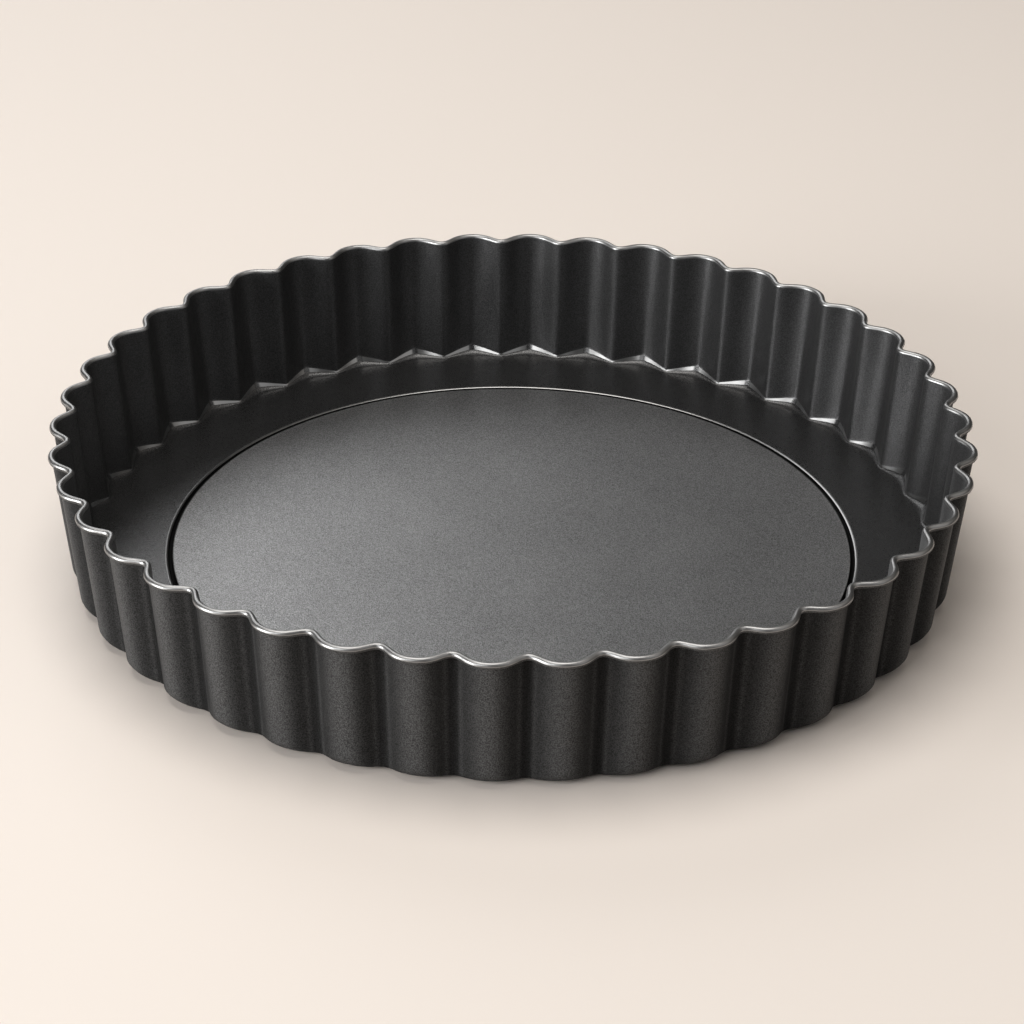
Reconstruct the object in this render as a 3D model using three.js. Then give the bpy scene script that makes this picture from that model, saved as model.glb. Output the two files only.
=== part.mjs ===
// A fluted tart tin with a loose base, in millimetres, +Z up.
// The origin is on the tin's axis, on the surface that the tin stands on.
import * as THREE from 'three';

// Sheet metal
const SHEET = 0.8;
const BASE_SHEET = 0.8;

// Rim: its diameter is over the rolled bead at the lobes, its depth from the bead's top to the floor
const RIM_DIAMETER = 250;
const BEAD_DIAMETER = 1.8;
const INSIDE_DEPTH = 37.4;

// Flutes: a hollow bends inwards, a lobe bends outwards
const FLUTE_COUNT = 42;
const FLUTE_DEPTH_AT_RIM = 4.4;
const FLUTE_DEPTH_AT_HEEL = 3.7;
const FLUTE_DEPTH_AT_FLOOR = 0.9;
const HOLLOW_HEEL_RADIUS = 1;

// How much fuller than a plain wave a lobe is, as a share of the flute's depth
const LOBE_FULLNESS = 0.08;

// How far the hollows lean out between the edge of the flat floor and the rim
const HOLLOW_FLARE = 3.8;

// Flat floor of the ring, and the stepped ledge that carries the loose base
const FLOOR_WIDTH = 20.5;
const BASE_CLEARANCE = 1;
const LEDGE_OVERLAP = 6;
const BASE_EDGE_CHAMFER = 0.2;

// Finishes: a dark satin coat on both pieces
const RING_COAT = { color: 0x37373a, roughness: 0.42, metalness: 0.5 };
const BASE_COAT = { color: 0x4a4a4d, roughness: 0.4, metalness: 0.5 };

// Fineness of the faceted solids
const COLUMNS_PER_FLUTE = 6;
const HEEL_STEPS = 3;
const BEAD_STEPS = 6;
const BASE_SIDES = 84;

// Heights above the surface that the tin stands on
const ledgeTop = SHEET;
const floorTop = ledgeTop + BASE_SHEET;
const floorUnderside = floorTop - SHEET;
const beadRadius = BEAD_DIAMETER / 2;
const beadHeight = floorTop + INSIDE_DEPTH - beadRadius;

// Radii from the tin's axis, from the rim inwards
const lobeRimRadius = RIM_DIAMETER / 2 - BEAD_DIAMETER;
const hollowRimRadius = lobeRimRadius - FLUTE_DEPTH_AT_RIM;
const floorRadius = hollowRimRadius - HOLLOW_FLARE;
const seatRadius = floorRadius - FLOOR_WIDTH;
const baseRadius = seatRadius - BASE_CLEARANCE;
const ledgeRadius = baseRadius - LEDGE_OVERLAP;

const QUARTER_TURN = Math.PI / 2;

function sheetPart(name, geometry, coat) {
  geometry.rotateX(QUARTER_TURN);
  geometry.computeVertexNormals();
  const mesh = new THREE.Mesh(geometry, new THREE.MeshStandardMaterial(coat));
  mesh.name = name;
  return mesh;
}

// Points on an arc about a centre. The reach stretches the arc along the tin's radius.
function arc(centre, radius, from, to, steps, reach = 1) {
  const points = [];
  for (let step = 0; step <= steps; step += 1) {
    const angle = from + ((to - from) * step) / steps;
    const across = centre.x + radius * reach * Math.cos(angle);
    const up = centre.y + radius * Math.sin(angle);
    points.push(new THREE.Vector2(across, up));
  }
  return points;
}

// How far out the wall bends at an angle around the tin: 0 in a hollow, 1 on a lobe.
function lobeShare(angle) {
  const turn = FLUTE_COUNT * angle;
  return (1 - Math.cos(turn)) / 2 + LOBE_FULLNESS * Math.sin(turn) ** 2;
}

// A flank lies slantwise to the radius, so its sheet measures more along the radius than square to it.
function flankSlant(angle) {
  const turn = FLUTE_COUNT * angle;
  const bend = FLUTE_COUNT * (Math.sin(turn) / 2 + LOBE_FULLNESS * Math.sin(2 * turn));
  const middleRadius = (lobeRimRadius + hollowRimRadius) / 2;
  return Math.hypot(1, (FLUTE_DEPTH_AT_RIM * bend) / middleRadius);
}

// The angle on the heel's arc where the straight wall leaves it on its way to the rim.
function wallStart(heelCentre, heelRadius, rim) {
  const toRim = rim.clone().sub(heelCentre);
  return toRim.angle() - Math.acos(heelRadius / toRim.length());
}

// The ring's closed section at one angle: ledge, underside, heel, wall, rolled bead, and back down inside.
function ringSection(angle) {
  const share = lobeShare(angle);
  const slant = flankSlant(angle);
  const heelRadius = HOLLOW_HEEL_RADIUS + (FLUTE_DEPTH_AT_HEEL - FLUTE_DEPTH_AT_FLOOR) * share;
  const heelCentre = new THREE.Vector2(floorRadius + FLUTE_DEPTH_AT_FLOOR * share, floorTop + heelRadius);
  const rimRadius = hollowRimRadius + FLUTE_DEPTH_AT_RIM * share;
  const wallAngle = wallStart(heelCentre, heelRadius, new THREE.Vector2(rimRadius, beadHeight));
  const beadCentre = new THREE.Vector2(rimRadius + beadRadius * slant, beadHeight);
  const beadStart = -Math.acos((SHEET - beadRadius) / beadRadius);

  const insideHeel = arc(heelCentre, heelRadius, wallAngle, -QUARTER_TURN, HEEL_STEPS);
  const outsideHeel = arc(heelCentre, heelRadius, -QUARTER_TURN, wallAngle, HEEL_STEPS);
  const thickness = arc(new THREE.Vector2(), SHEET, -QUARTER_TURN, wallAngle, HEEL_STEPS, slant);
  outsideHeel.forEach((point, step) => point.add(thickness[step]));

  const section = [
    new THREE.Vector2(ledgeRadius, 0),
    new THREE.Vector2(seatRadius + SHEET, 0),
    new THREE.Vector2(seatRadius + SHEET, floorUnderside),
    ...outsideHeel,
    ...arc(beadCentre, beadRadius, beadStart, Math.PI, BEAD_STEPS, slant),
    ...insideHeel,
    new THREE.Vector2(seatRadius, floorTop),
    new THREE.Vector2(seatRadius, ledgeTop),
    new THREE.Vector2(ledgeRadius, ledgeTop),
  ];
  section.push(section[0].clone());
  return section;
}

// One pressing: a turned section, bent column by column to the flutes.
function flutedRing() {
  const columns = FLUTE_COUNT * COLUMNS_PER_FLUTE;
  const geometry = new THREE.LatheGeometry(ringSection(0), columns);
  const position = geometry.attributes.position;
  let vertex = 0;
  for (let column = 0; column <= columns; column += 1) {
    const angle = (2 * Math.PI * column) / columns;
    for (const point of ringSection(angle)) {
      position.setXYZ(vertex, point.x * Math.sin(angle), point.y, point.x * Math.cos(angle));
      vertex += 1;
    }
  }
  return sheetPart('fluted_ring', geometry, RING_COAT);
}

// A flat disc with broken edges. It lies on the ledge, flush with the floor around it.
function looseBase() {
  const profile = [
    new THREE.Vector2(0, ledgeTop),
    new THREE.Vector2(baseRadius - BASE_EDGE_CHAMFER, ledgeTop),
    new THREE.Vector2(baseRadius, ledgeTop + BASE_EDGE_CHAMFER),
    new THREE.Vector2(baseRadius, floorTop - BASE_EDGE_CHAMFER),
    new THREE.Vector2(baseRadius - BASE_EDGE_CHAMFER, floorTop),
    new THREE.Vector2(0, floorTop),
  ];
  return sheetPart('loose_base', new THREE.LatheGeometry(profile, BASE_SIDES), BASE_COAT);
}

const tartTin = new THREE.Group();
tartTin.add(flutedRing());
tartTin.add(looseBase());

export default tartTin;
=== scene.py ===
import math
from collections import namedtuple

import bmesh
import bpy
from bpy.props import FloatProperty, FloatVectorProperty, IntProperty, PointerProperty
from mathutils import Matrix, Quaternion, Vector


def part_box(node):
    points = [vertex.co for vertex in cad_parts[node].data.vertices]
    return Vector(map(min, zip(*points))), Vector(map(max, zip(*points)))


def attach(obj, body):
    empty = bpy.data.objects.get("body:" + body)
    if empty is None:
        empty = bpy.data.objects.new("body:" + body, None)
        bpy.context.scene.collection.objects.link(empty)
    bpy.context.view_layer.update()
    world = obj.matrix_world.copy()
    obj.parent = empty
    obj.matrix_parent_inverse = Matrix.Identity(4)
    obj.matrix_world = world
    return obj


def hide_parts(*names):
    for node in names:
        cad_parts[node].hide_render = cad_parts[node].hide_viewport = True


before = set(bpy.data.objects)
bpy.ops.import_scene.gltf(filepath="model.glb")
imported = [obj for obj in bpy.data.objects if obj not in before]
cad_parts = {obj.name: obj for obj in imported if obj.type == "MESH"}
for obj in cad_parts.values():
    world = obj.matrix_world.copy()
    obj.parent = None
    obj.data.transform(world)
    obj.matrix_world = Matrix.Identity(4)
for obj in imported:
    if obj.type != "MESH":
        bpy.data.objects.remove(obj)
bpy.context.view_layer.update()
RING_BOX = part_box("fluted_ring")
BASE_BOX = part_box("loose_base")

bl_info = {
    "name": "Fluted Tart Tin",
    "version": (1, 0, 0),
    "blender": (4, 5, 0),
    "location": "3D View > Sidebar > Tart Tin",
    "description": "Dresses a fluted tart tin with a loose base and stands it on a pale table",
    "category": "Object",
}

QUARTER_TURN = math.pi / 2

# What the finish of a point is: rubbed down to steel, on the inside, painted dark as shade
Mark = namedtuple("Mark", "wear inside soot")
OUTSIDE = Mark(0, 0, 0)
INSIDE = Mark(0, 1, 0)
INNER_WALL = Mark(0, 0.85, 0)
RIM = Mark(1, 0.4, 0)
SHADED_SEAM = Mark(0, 1, 1)

# Painted shade outside: from the foot up the heel to the wall, and from the middle of a hollow to a
# lobe's
HEEL_SHADE = (0.75, 0.75, 0.7, 0.6, 0.45, 0.3, 0.15, 0.05, 0)
HOLLOW_SHADE = (0.8, 0.76, 0.42, 0.62, 0.6, 0.52, 0.4, 0.25, 0.12, 0.03, 0)

# How finely the meshes are cut. The inside of the heel has steps above and below its facet.
HEEL_STEPS = len(HEEL_SHADE) - 1
COLUMNS_PER_FLUTE = 2 * (len(HOLLOW_SHADE) - 1)
ABOVE_STEPS = 2
BELOW_STEPS = 4
BEAD_STEPS = 18
EDGE_STEPS = 4
BASE_SIDES = 252

# Vertices that are nearer than this, in metres, become one
WELD = 0.00001

# Keeps the smooth flutes inside the box of the CAD's faceted ones, in metres
RIM_INSET = 0.00003

# Where points lie on straight stretches of the ring's section, as shares of the way along
WALL_PARTS = (0.03, 0.5, 0.97)
INNER_WALL_PARTS = (0.01, 0.03, 0.5, 0.97)
FACET_PARTS = (0.06, 0.94)
SHOULDER_PARTS = (0.1, 0.9)

# The rolled rim: where its curl ends, and how far under its middle the outside of the wall meets
# it, as a share of its radius
CURL_END = math.radians(-80)
LIP_DROP = 0.45

# The rim's bare stretch, as angles on its round, and the angle in which the wear fades at each end
BARE_START = math.radians(-5)
BARE_START_FADE = 0.3
BARE_END = math.radians(178)
BARE_END_FADE = 0.2

# The flat facet along the inside of the heel, as angles on the heel's round. Its coat is rubbed
# off but for the middle of a lobe, and the last number is how fast the wear sets in beside that.
FACET_TOP = math.radians(-20)
FACET_FOOT = math.radians(-44)
FACET_WEAR = 5

# How steep the slope beside the seam is
SHOULDER_FALL = 0.3

# In roundings of a cut edge: how far under its lip the painted shade in the seam starts, the flat
# band round the top of the base, and the rim of the base that is painted dark as shade in the gap
SEAM_DROP = 0.2
BASE_BAND = 1.5
BASE_SHADED_RIM = 1.2

# Strength of the coat's grain on the inside of each piece, where 1 is as strong as outside
RING_GRIT = 0.5
BASE_GRIT = 0.85

# Patterns in the coat: wavelengths in metres, levels of detail, and how much they are warped
CLOUD_WAVELENGTH = 0.03
CLOUD_DETAIL = 3
FLECK_WAVELENGTH = 0.0016
FINE_DETAIL = 2
WARP = 0.3

# What the patterns do: how ragged worn edges are, the ends of a soft step from 0 to 1, how much
# the coat's brightness varies, and how much its roughness varies or the painted shade adds to it
FLECK_WEAR = 0.15
SOFT_STEP = (0.3, 0.7)
SPECKLE_CONTRAST = 1.05
CLOUD_CONTRAST = 0.24
CLOUD_ROUGHNESS = 0.05
GRAIN_ROUGHNESS = 0.1
PAINTED_SHADE_ROUGHNESS = 0.3
# Near black of the painted shade in the hollows, at the foot and in the seam
PAINTED_SHADE_COLOUR = (0.002, 0.002, 0.002)

# The table reaches this many metres each way from the tin
TABLE_REACH = 3
TABLE_ROUGHNESS = 0.6

# Width of the camera's sensor in millimetres
SENSOR_WIDTH = 36

# The soft boxes, all at one distance in metres: degrees round from +X towards +Y, degrees up,
# width in metres and tint. Their powers are in the stage's properties of the same names.
SOFT_BOX_DISTANCE = 1.5
WHITE = (1, 1, 1)
SoftBox = namedtuple("SoftBox", "azimuth elevation width tint")
SOFT_BOXES = {
    "key": SoftBox(204, 12, 0.8, WHITE),
    "glint": SoftBox(236, 36, 0.7, WHITE),
    "window": SoftBox(111, 34, 0.9, WHITE),
    "top": SoftBox(145, 83, 1.2, (1, 0.97, 0.93)),
    "fill": SoftBox(0, 52, 1.6, (1, 0.92, 0.84)),
    "front": SoftBox(322, 34, 1.3, WHITE),
}


def length(name, description, default):
    """A size in metres that the sidebar shows in the scene's units."""
    return FloatProperty(
        name=name, description=description, default=default, min=0, precision=5,
        subtype="DISTANCE", unit="LENGTH",
    )


def share_of_one(name, description, default):
    """A number from 0 to 1."""
    return FloatProperty(
        name=name, description=description, default=default, min=0, max=1, subtype="FACTOR",
    )


def colour(name, description, default):
    """A colour in linear light."""
    return FloatVectorProperty(
        name=name, description=description, default=default, size=3, min=0, max=1,
        subtype="COLOR",
    )


def power(name, description, default):
    """A lamp's power in watts."""
    return FloatProperty(name=name, description=description, default=default, min=0, unit="POWER")


def angle_of(name, description, degrees):
    """An angle whose default is given in degrees."""
    return FloatProperty(
        name=name, description=description, default=math.radians(degrees),
        subtype="ANGLE", unit="ROTATION",
    )


class TinSizes(bpy.types.PropertyGroup):
    """Sizes of the tin's two pressings."""

    rim_radius: length(
        "Rim radius", "Axis to the outside of the rim on a lobe", RING_BOX[1].x - RIM_INSET,
    )
    rim_height: length("Rim height", "Table to the top of the rim", RING_BOX[1].z)
    floor_height: length("Floor height", "Table to the floor inside the tin", BASE_BOX[1].z)
    ledge_height: length("Ledge height", "Table to the ledge under the base", BASE_BOX[0].z)
    base_radius: length("Base radius", "Radius of the loose base", BASE_BOX[1].x)
    sheet: length("Sheet", "Thickness of the ring's sheet", 0.0008)
    bead: length("Bead", "Diameter of the rolled rim", 0.0018)
    flutes: IntProperty(name="Flutes", description="Lobes round the wall", default=42, min=3)
    rim_flute: length("Flute at rim", "Depth of a flute at the rim", 0.0044)
    heel_flute: length("Flute at heel", "Depth of a flute at the heel", 0.0037)
    floor_flute: length("Flute at floor", "Depth of a flute at the edge of the floor", 0.0009)
    fullness: share_of_one("Fullness", "How much fuller than a plain wave a lobe is", 0.13)
    heel: length("Hollow heel", "Inside radius of the heel in a hollow", 0.001)
    flare: length("Flare", "Lean of a hollow from the floor to the rim", 0.0038)
    clearance: length("Clearance", "Gap round the loose base", 0.001)
    overlap: length("Overlap", "Width of the ledge under the base", 0.006)
    edge: length("Edge", "Rounding of a cut edge", 0.00025)
    shoulder: length(
        "Shoulder", "Width of the slope where the floor steps down to its ledge", 0.0005,
    )


class TinFinish(bpy.types.PropertyGroup):
    """Colours and gloss of the coat and of the bare metal."""

    outside: colour("Outside coat", "Matt coat on the outside", (0.063, 0.063, 0.0633))
    inside: colour("Inside coat", "Satin coat on the inside of the ring", (0.09, 0.09, 0.0908))
    base: colour("Base coat", "Satin coat on the top of the loose base", (0.267, 0.267, 0.269))
    steel: colour("Bare steel", "Metal where the coat is worn off", (0.32, 0.319, 0.317))
    outside_gloss: share_of_one("Outside roughness", "Roughness of the outside", 0.45)
    inside_gloss: share_of_one("Inside roughness", "Roughness of the inside of the ring", 0.28)
    base_gloss: share_of_one("Base roughness", "Roughness of the top of the loose base", 0.3)
    flake: share_of_one("Flake", "How metallic the satin coat is", 0.87)
    sheen: share_of_one("Coat sheen", "Specular level of the coat", 0.03)
    grain: length("Grain", "Width of one grain of the coat", 0.0003)
    relief: length("Relief", "Height of the coat's grain", 0.000033)


class TinStage(bpy.types.PropertyGroup):
    """Table, light and camera."""

    table: colour("Table", "Colour of the table", (0.81, 0.738, 0.677))
    room: FloatProperty(name="Room light", description="Light from all round", default=0.02, min=0)
    key: power("Key light", "Low soft box at the left, which rakes the lobes", 22)
    glint: power("Glint light", "Soft box at the front left, which shines on the bare metal", 4.8)
    window: power("Window light", "Soft box at the back left, which shines on the base", 4.8)
    top: power("Top light", "Wide soft box overhead", 14.4)
    fill: power("Fill light", "Soft box at the right", 2.2)
    front: power("Front light", "Soft box at the front right, which shines on the bare metal", 2.2)
    distance: length("Distance", "Camera to the middle of the floor", 0.8683)
    aim: length("Aim", "Height that the camera looks at", 0.0109)
    lens: FloatProperty(name="Lens", description="Focal length", default=110.45, unit="CAMERA")
    elevation: angle_of("Elevation", "Camera above the table", 29.607)
    azimuth: angle_of("Azimuth", "Camera round the tin from its front", -2.0)
    roll: angle_of("Roll", "Camera about its line of sight", 0.66)


class Signal:
    """A socket of a finish that takes part in Python sums."""

    def __init__(self, finish, socket):
        self.finish = finish
        self.socket = socket

    def __add__(self, other):
        return self.finish.maths("ADD", self, other)

    def __sub__(self, other):
        return self.finish.maths("SUBTRACT", self, other)

    def __rsub__(self, other):
        return self.finish.maths("SUBTRACT", other, self)

    def __mul__(self, other):
        return self.finish.maths("MULTIPLY", self, other)

    __radd__ = __add__
    __rmul__ = __mul__


class Finish:
    """A material or world that is built with one call a node."""

    def __init__(self, owner):
        self.owner = owner
        owner.use_nodes = True
        self.tree = owner.node_tree
        self.tree.nodes.clear()

    def node(self, kind, settings, sockets, output=0):
        """A node with its settings and then its sockets set. Gives one of its outputs."""
        made = self.tree.nodes.new(kind)
        for name, value in settings.items():
            setattr(made, name, value)
        for name, value in sockets.items():
            if isinstance(value, Signal):
                self.tree.links.new(value.socket, made.inputs[name])
            else:
                made.inputs[name].default_value = value
        return Signal(self, made.outputs[output]) if made.outputs else None

    def maths(self, operation, first, second):
        """A sum of two numbers or signals."""
        return self.node("ShaderNodeMath", {"operation": operation}, {0: first, 1: second})

    def noise(self, wavelength, detail, place):
        """Noise from 0 to 1 with about the given wavelength in metres."""
        return self.node(
            "ShaderNodeTexNoise", {},
            {"Vector": place, "Scale": 1 / wavelength, "Detail": detail, "Distortion": WARP},
        )

    def ramp(self, value, low, high):
        """0 below low, 1 above high, smooth between them."""
        return self.node(
            "ShaderNodeMapRange", {"interpolation_type": "SMOOTHSTEP"},
            {"Value": value, "From Min": low, "From Max": high},
        )

    def blend(self, share, first, second):
        """A colour between two, a share of the way from the first to the second."""
        return self.node(
            "ShaderNodeMix", {"data_type": "RGBA"}, {0: share, 6: first, 7: second}, 2,
        )

    def close(self, surface):
        """Links the surface to the material's output."""
        self.node("ShaderNodeOutputMaterial", {}, {"Surface": surface})
        return self.owner


def opaque(rgb):
    """A shader colour from three numbers."""
    return (*rgb, 1)


def coated_steel(name, inside, inside_gloss, grit, finishes):
    """Matt coat outside and satin coat inside with a fine grain, worn and painted dark as shade
    where marked.
    """
    finish = Finish(bpy.data.materials.new(name))
    place = finish.node("ShaderNodeTexCoord", {}, {}, "Object")
    wear, within, soot = (
        finish.node("ShaderNodeAttribute", {"attribute_name": mark}, {}, "Fac")
        for mark in Mark._fields
    )
    grain = finish.noise(finishes.grain, FINE_DETAIL, place)
    cloud = finish.noise(CLOUD_WAVELENGTH, CLOUD_DETAIL, place) - 0.5
    fleck = finish.noise(FLECK_WAVELENGTH, FINE_DETAIL, place) - 0.5

    bare = finish.ramp(wear + fleck * FLECK_WEAR, *SOFT_STEP)
    strength = 1 + within * (grit - 1)
    speckle = (finish.ramp(grain, *SOFT_STEP) - 0.5) * strength
    coat = finish.blend(within, opaque(finishes.outside), opaque(inside))
    speckled = finish.node(
        "ShaderNodeVectorMath", {"operation": "SCALE"},
        {0: coat, "Scale": 1 + speckle * SPECKLE_CONTRAST + cloud * CLOUD_CONTRAST},
    )
    # Painted shade: where marked, the coat is blended towards near black
    shade = finish.blend(soot, speckled, opaque(PAINTED_SHADE_COLOUR))
    tint = finish.blend(bare, shade, opaque(finishes.steel))
    gloss = finishes.outside_gloss + within * (inside_gloss - finishes.outside_gloss)
    uneven = cloud * CLOUD_ROUGHNESS + (grain - 0.5) * GRAIN_ROUGHNESS + soot * PAINTED_SHADE_ROUGHNESS
    rough = gloss + uneven * (1 - bare)
    flake = within * finishes.flake * (1 - soot)
    bump = finish.node(
        "ShaderNodeBump", {},
        {"Strength": 1, "Distance": finishes.relief, "Height": speckle * (1 - bare)},
    )
    surface = finish.node(
        "ShaderNodeBsdfPrincipled", {},
        {
            "Base Color": tint, "Roughness": rough, "Metallic": flake + bare * (1 - flake),
            "Specular IOR Level": finishes.sheen, "Normal": bump,
        },
    )
    return finish.close(surface)


def arc(centre, radius, start, end, steps, reach=1):
    """Points on an arc about a centre. The reach stretches it along the tin's radius."""
    points = []
    for step in range(steps + 1):
        angle = start + (end - start) * step / steps
        points.append(Vector((
            centre[0] + radius * reach * math.cos(angle),
            centre[1] + radius * math.sin(angle),
        )))
    return points


def marked(points, mark):
    """Section points with the mark of their finish."""
    return [(point[0], point[1], mark) for point in points]


def bead_wear(angle):
    """How bare the rolled rim is at an angle on its round: 0 faces out, a quarter turn faces up."""
    from_start = (angle - BARE_START) / BARE_START_FADE
    to_end = (BARE_END - angle) / BARE_END_FADE
    return max(0, min(1, from_start, to_end))


def heel_round(sizes, floor_edge, share, rim):
    """Centre, radius and last angle of a heel that runs from the floor into a wall up to the rim."""
    radius = sizes.heel + (sizes.heel_flute - sizes.floor_flute) * share
    centre = Vector((floor_edge, sizes.floor_height + radius))
    to_rim = rim - centre
    return centre, radius, math.atan2(to_rim.y, to_rim.x) - math.acos(radius / to_rim.length)


def ring_section(sizes, share, fold, slant, hollow_shade):
    """The ring's closed section where the wall bends out by a share of the flute's depth.

    The fold is that share inside the heel, where the flutes are folded sharper. The slant is how
    much wider than the sheet the section is, because it cuts the wall aslant, and the hollow shade
    is the painted shade on the outside of the wall, darkest in the middle of a hollow.
    """
    sheet = sizes.sheet
    edge = sizes.edge
    margin = 2 * edge
    bead = sizes.bead / 2
    bead_height = sizes.rim_height - bead
    hollow_rim = sizes.rim_radius - sizes.bead - sizes.rim_flute
    seat = sizes.base_radius + sizes.clearance
    ledge = sizes.base_radius - sizes.overlap
    underside = sizes.floor_height - sheet

    floor_edge = hollow_rim - sizes.flare + sizes.floor_flute * share
    rim = Vector((hollow_rim + sizes.rim_flute * share, bead_height))
    centre, radius, wall = heel_round(sizes, floor_edge, share, rim)
    round_heel = arc(centre, radius, -QUARTER_TURN, wall, HEEL_STEPS)
    thickness = arc((0, 0), sheet, -QUARTER_TURN, wall, HEEL_STEPS, slant)
    outside = [point + offset for point, offset in zip(round_heel, thickness)]
    centre, radius, wall = heel_round(sizes, floor_edge, fold, rim)
    above = arc(centre, radius, wall, FACET_TOP, ABOVE_STEPS)
    below = arc(centre, radius, FACET_FOOT, -QUARTER_TURN, BELOW_STEPS)
    facet = [above[-1].lerp(below[0], part) for part in FACET_PARTS]
    lip = Vector((rim.x + sheet * slant, bead_height - bead * LIP_DROP))
    curl = arc(rim + Vector((bead * slant, 0)), bead, CURL_END, math.pi, BEAD_STEPS, slant)
    shoulder = Vector((seat + sizes.shoulder, sizes.floor_height))
    seam = Vector((seat, sizes.floor_height - sizes.shoulder * SHOULDER_FALL))
    slope = [shoulder.lerp(seam, part) for part in SHOULDER_PARTS]

    foot = (ledge + edge, edge)
    section = marked(arc(foot, edge, math.pi, 3 * QUARTER_TURN, EDGE_STEPS), OUTSIDE)
    corner = (seat + sheet - edge, edge)
    section += marked(arc(corner, edge, -QUARTER_TURN, 0, EDGE_STEPS), OUTSIDE)
    joggle = (seat + sheet + edge, underside - edge)
    section += marked(arc(joggle, edge, math.pi, QUARTER_TURN, EDGE_STEPS), OUTSIDE)
    section += marked([(joggle[0] + margin, underside), (floor_edge - margin, underside)], OUTSIDE)
    # Painted shade on the outside: at the foot, fading up the heel, and in the hollows
    for point, soot in zip(outside, HEEL_SHADE):
        section += marked([point], OUTSIDE._replace(soot=max(soot, hollow_shade)))
    outer_wall = [outside[-1].lerp(lip, part) for part in WALL_PARTS]
    section += marked(outer_wall + [lip], OUTSIDE._replace(soot=hollow_shade))
    for step, point in enumerate(curl):
        angle = CURL_END + (math.pi - CURL_END) * step / BEAD_STEPS
        section += marked([point], RIM._replace(wear=bead_wear(angle)))
    section += marked([rim.lerp(above[0], part) for part in INNER_WALL_PARTS], INNER_WALL)
    section += marked(above, INNER_WALL)
    section += marked(facet, INSIDE._replace(wear=min(1, (1 - fold) * FACET_WEAR)))
    section += marked(below, INSIDE)
    section += marked([(floor_edge - margin, sizes.floor_height)], INSIDE)
    section += marked([(shoulder.x + margin, sizes.floor_height)], INSIDE)
    section += marked(slope, INSIDE._replace(wear=1))
    # The seam's riser and ledge, and the rounding under the ledge, are painted dark as shade in the
    # gap
    section += marked([seam - Vector((0, edge * SEAM_DROP)), (seat, sizes.ledge_height)], SHADED_SEAM)
    section += marked([(seat - margin, sizes.ledge_height)], SHADED_SEAM)
    inner = (ledge + edge, sizes.ledge_height - edge)
    section += marked(arc(inner, edge, QUARTER_TURN, math.pi, EDGE_STEPS), SHADED_SEAM)
    return section


def flute_bend(sizes, turn):
    """At a turn through one flute: the share, the fold and the slant of the ring's section."""
    share = (1 - math.cos(turn)) / 2 + sizes.fullness * math.sin(turn) ** 2
    steep = sizes.flutes * (math.sin(turn) / 2 + sizes.fullness * math.sin(2 * turn))
    middle = sizes.rim_radius - sizes.bead - sizes.rim_flute / 2
    fold = min(turn, 2 * math.pi - turn) / math.pi
    return share, fold, math.hypot(1, sizes.rim_flute * steep / middle)


def mark_layers(bm):
    """One number a vertex for each field of a mark."""
    return [bm.verts.layers.float.new(field) for field in Mark._fields]


def put_mark(vertex, layers, mark):
    """Writes a mark's fields on a vertex."""
    for layer, value in zip(layers, mark):
        vertex[layer] = value


def piece_from(bm, name, material, body, node):
    """The finished piece, on its body and in place of its CAD node."""
    mesh = bpy.data.meshes.new(name)
    bm.to_mesh(mesh)
    bm.free()
    mesh.materials.append(material)
    piece = bpy.data.objects.new(name, mesh)
    bpy.context.collection.objects.link(piece)
    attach(piece, body)
    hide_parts(node)


class AddRing(bpy.types.Operator):
    """Add the fluted ring with its rolled rim, heel, floor and ledge"""

    bl_idname = "tart_tin.add_ring"
    bl_label = "Fluted Ring"

    def execute(self, context):
        sizes = context.scene.tin_sizes
        finishes = context.scene.tin_finish
        flute = 2 * math.pi / sizes.flutes
        round_axis = {"cent": (0, 0, 0), "axis": (0, 0, 1)}
        columns = []
        for column in range(COLUMNS_PER_FLUTE + 1):
            bend = flute_bend(sizes, 2 * math.pi * column / COLUMNS_PER_FLUTE)
            # Painted shade on the outside wall, darkest in the middle of a hollow
            hollow_shade = HOLLOW_SHADE[min(column, COLUMNS_PER_FLUTE - column)]
            columns.append(ring_section(sizes, *bend, hollow_shade))

        # One section is spun through one flute and bent, and that flute is then spun round the tin
        bm = bmesh.new()
        station = bm.verts.layers.int.new("station")
        layers = mark_layers(bm)
        loop = []
        for number, (radius, height, _) in enumerate(columns[0]):
            vertex = bm.verts.new((0, -radius, height))
            vertex[station] = number
            loop.append(vertex)
        edges = [bm.edges.new((loop[number - 1], vertex)) for number, vertex in enumerate(loop)]
        bmesh.ops.spin(bm, geom=loop + edges, angle=flute, steps=COLUMNS_PER_FLUTE, **round_axis)
        for vertex in bm.verts:
            angle = math.atan2(vertex.co.x, -vertex.co.y)
            column = columns[round(angle / flute * COLUMNS_PER_FLUTE)]
            radius, height, mark = column[vertex[station]]
            vertex.co = (radius * math.sin(angle), -radius * math.cos(angle), height)
            put_mark(vertex, layers, mark)
        bmesh.ops.spin(
            bm, geom=bm.verts[:] + bm.edges[:] + bm.faces[:], angle=2 * math.pi - flute,
            steps=sizes.flutes - 1, use_duplicate=True, **round_axis,
        )
        bmesh.ops.remove_doubles(bm, verts=bm.verts, dist=WELD)
        bmesh.ops.recalc_face_normals(bm, faces=bm.faces)
        for face in bm.faces:
            face.smooth = True
        coat = coated_steel(
            "ring_finish", finishes.inside, finishes.inside_gloss, RING_GRIT, finishes,
        )
        piece_from(bm, "ring_dressed", coat, "ring", "fluted_ring")
        return {"FINISHED"}


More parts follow.
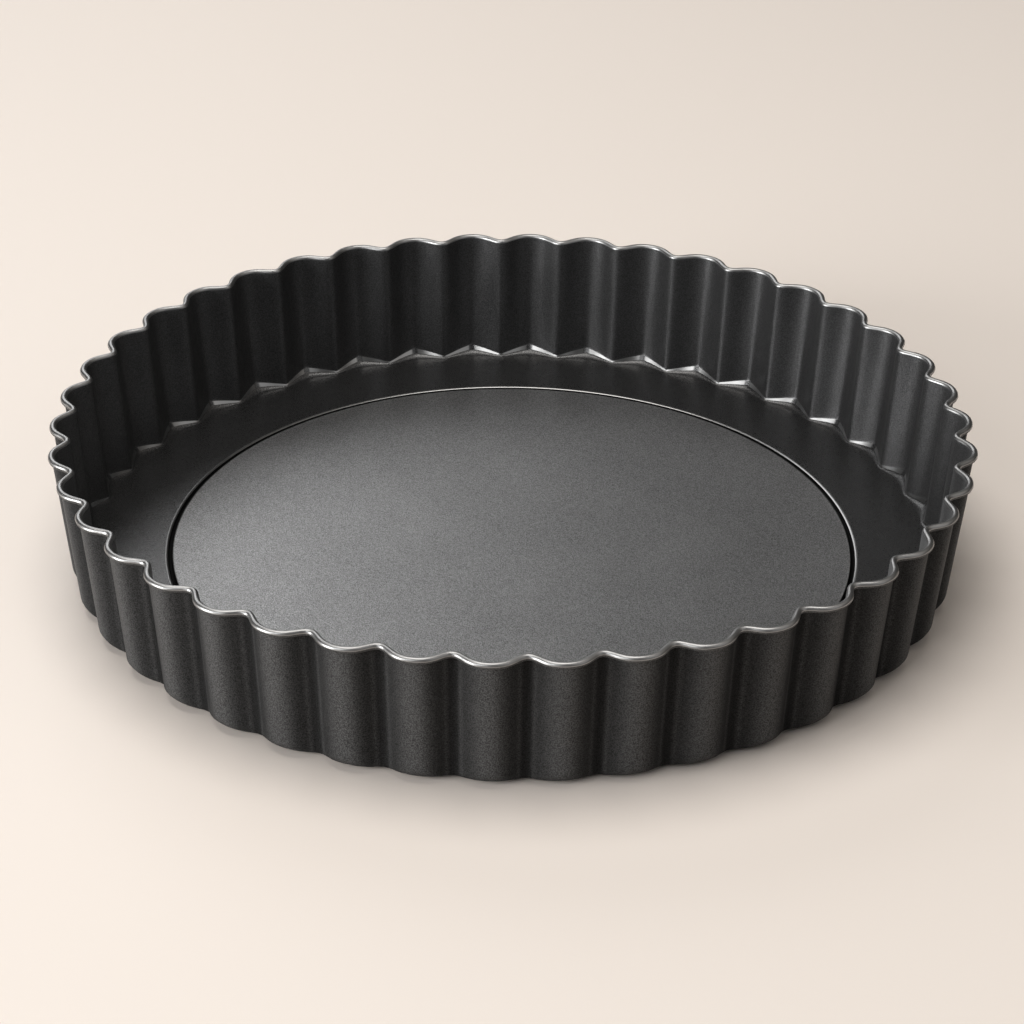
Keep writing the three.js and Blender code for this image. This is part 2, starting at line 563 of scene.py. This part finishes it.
class AddBase(bpy.types.Operator):
    """Add the loose base, a flat disc with rounded edges"""

    bl_idname = "tart_tin.add_base"
    bl_label = "Loose Base"

    def execute(self, context):
        sizes = context.scene.tin_sizes
        finishes = context.scene.tin_finish
        bm = bmesh.new()
        bmesh.ops.create_circle(bm, cap_ends=True, radius=sizes.base_radius, segments=BASE_SIDES)
        raised = bmesh.ops.extrude_face_region(bm, geom=bm.faces[:])["geom"]
        top = [item for item in raised if isinstance(item, bmesh.types.BMVert)]
        bmesh.ops.translate(bm, vec=(0, 0, sizes.ledge_height), verts=bm.verts)
        bmesh.ops.translate(bm, vec=(0, 0, sizes.floor_height - sizes.ledge_height), verts=top)
        bmesh.ops.recalc_face_normals(bm, faces=bm.faces)
        rims = [edge for edge in bm.edges if edge.calc_face_angle(0) > QUARTER_TURN / 2]
        bmesh.ops.bevel(
            bm, geom=rims, offset=sizes.edge, offset_type="OFFSET", affect="EDGES",
            segments=EDGE_STEPS, profile=0.5, material=-1,
        )
        # The side is all quads, and the flat top and bottom are one face each
        for face in bm.faces:
            face.smooth = len(face.verts) == 4
        top_face = max(bm.faces, key=lambda face: face.calc_center_median().z)
        bmesh.ops.inset_region(bm, faces=[top_face], thickness=sizes.edge * BASE_BAND)
        layers = mark_layers(bm)
        middle = (sizes.floor_height + sizes.ledge_height) / 2
        shade_from = sizes.base_radius - sizes.edge * BASE_SHADED_RIM
        # The rim of the base is painted dark as shade in the gap round it
        for vertex in bm.verts:
            on_rim = math.hypot(vertex.co.x, vertex.co.y) > shade_from
            mark = INSIDE if vertex.co.z > middle else OUTSIDE
            put_mark(vertex, layers, SHADED_SEAM if on_rim else mark)
        coat = coated_steel(
            "base_finish", finishes.base, finishes.base_gloss, BASE_GRIT, finishes,
        )
        piece_from(bm, "base_dressed", coat, "base", "loose_base")
        return {"FINISHED"}


def add_table(stage):
    """The table that the tin stands on."""
    bm = bmesh.new()
    bmesh.ops.create_grid(bm, x_segments=1, y_segments=1, size=TABLE_REACH)
    mesh = bpy.data.meshes.new("table")
    bm.to_mesh(mesh)
    bm.free()
    finish = Finish(bpy.data.materials.new("table_top"))
    surface = finish.node(
        "ShaderNodeBsdfPrincipled", {},
        {"Base Color": opaque(stage.table), "Roughness": TABLE_ROUGHNESS},
    )
    mesh.materials.append(finish.close(surface))
    table = bpy.data.objects.new("table", mesh)
    bpy.context.collection.objects.link(table)


def add_room(stage):
    """Weak light from all round."""
    room = Finish(bpy.data.worlds.new("room"))
    glow = room.node(
        "ShaderNodeBackground", {}, {"Color": opaque(WHITE), "Strength": stage.room},
    )
    room.node("ShaderNodeOutputWorld", {}, {"Surface": glow})
    bpy.context.scene.world = room.owner


def add_soft_box(name, box, watts):
    """A round soft box that shines at the tin."""
    turn = math.radians(box.azimuth)
    rise = math.radians(box.elevation)
    towards = Vector((
        math.cos(rise) * math.cos(turn), math.cos(rise) * math.sin(turn), math.sin(rise),
    ))
    data = bpy.data.lights.new(name, "AREA")
    data.shape = "DISK"
    data.size = box.width
    data.energy = watts
    data.color = box.tint
    light = bpy.data.objects.new(name, data)
    light.location = towards * SOFT_BOX_DISTANCE
    light.rotation_euler = (-towards).to_track_quat("-Z", "Y").to_euler()
    bpy.context.collection.objects.link(light)


def add_camera(stage, floor_height):
    """The photo's camera."""
    data = bpy.data.cameras.new("camera")
    data.lens = stage.lens
    data.sensor_width = SENSOR_WIDTH
    camera = bpy.data.objects.new("camera", data)
    floor = Vector((0, 0, floor_height))
    level = stage.distance * math.cos(stage.elevation)
    camera.location = floor + Vector((
        level * math.sin(stage.azimuth),
        -level * math.cos(stage.azimuth),
        stage.distance * math.sin(stage.elevation),
    ))
    sight = Vector((0, 0, stage.aim)) - camera.location
    camera.rotation_mode = "QUATERNION"
    turn = Quaternion((0, 0, 1), stage.roll)
    camera.rotation_quaternion = sight.to_track_quat("-Z", "Y") @ turn
    bpy.context.collection.objects.link(camera)
    bpy.context.scene.camera = camera


class AddStage(bpy.types.Operator):
    """Add the pale table, the soft light and the camera"""

    bl_idname = "tart_tin.add_stage"
    bl_label = "Table, Light and Camera"

    def execute(self, context):
        stage = context.scene.tin_stage
        add_table(stage)
        add_room(stage)
        for name, box in SOFT_BOXES.items():
            add_soft_box(name, box, getattr(stage, name))
        add_camera(stage, context.scene.tin_sizes.floor_height)
        context.scene.view_settings.view_transform = "Standard"
        return {"FINISHED"}


class TART_TIN_PT_sidebar(bpy.types.Panel):
    """Sizes, finishes and pieces of the tart tin"""

    bl_label = "Tart Tin"
    bl_space_type = "VIEW_3D"
    bl_region_type = "UI"
    bl_category = "Tart Tin"

    def draw(self, context):
        for group in (context.scene.tin_sizes, context.scene.tin_finish, context.scene.tin_stage):
            box = self.layout.box()
            for name in group.bl_rna.properties.keys():
                if name not in {"rna_type", "name"}:
                    box.prop(group, name)
        for operator in (AddStage, AddRing, AddBase):
            self.layout.operator(operator.bl_idname)


CLASSES = (TinSizes, TinFinish, TinStage, AddStage, AddRing, AddBase, TART_TIN_PT_sidebar)


def register():
    for kind in CLASSES:
        bpy.utils.register_class(kind)
    bpy.types.Scene.tin_sizes = PointerProperty(type=TinSizes)
    bpy.types.Scene.tin_finish = PointerProperty(type=TinFinish)
    bpy.types.Scene.tin_stage = PointerProperty(type=TinStage)


def unregister():
    del bpy.types.Scene.tin_stage
    del bpy.types.Scene.tin_finish
    del bpy.types.Scene.tin_sizes
    for kind in reversed(CLASSES):
        bpy.utils.unregister_class(kind)


def main():
    register()
    bpy.ops.tart_tin.add_stage()
    bpy.ops.tart_tin.add_ring()
    bpy.ops.tart_tin.add_base()


if __name__ == "__main__":
    main()
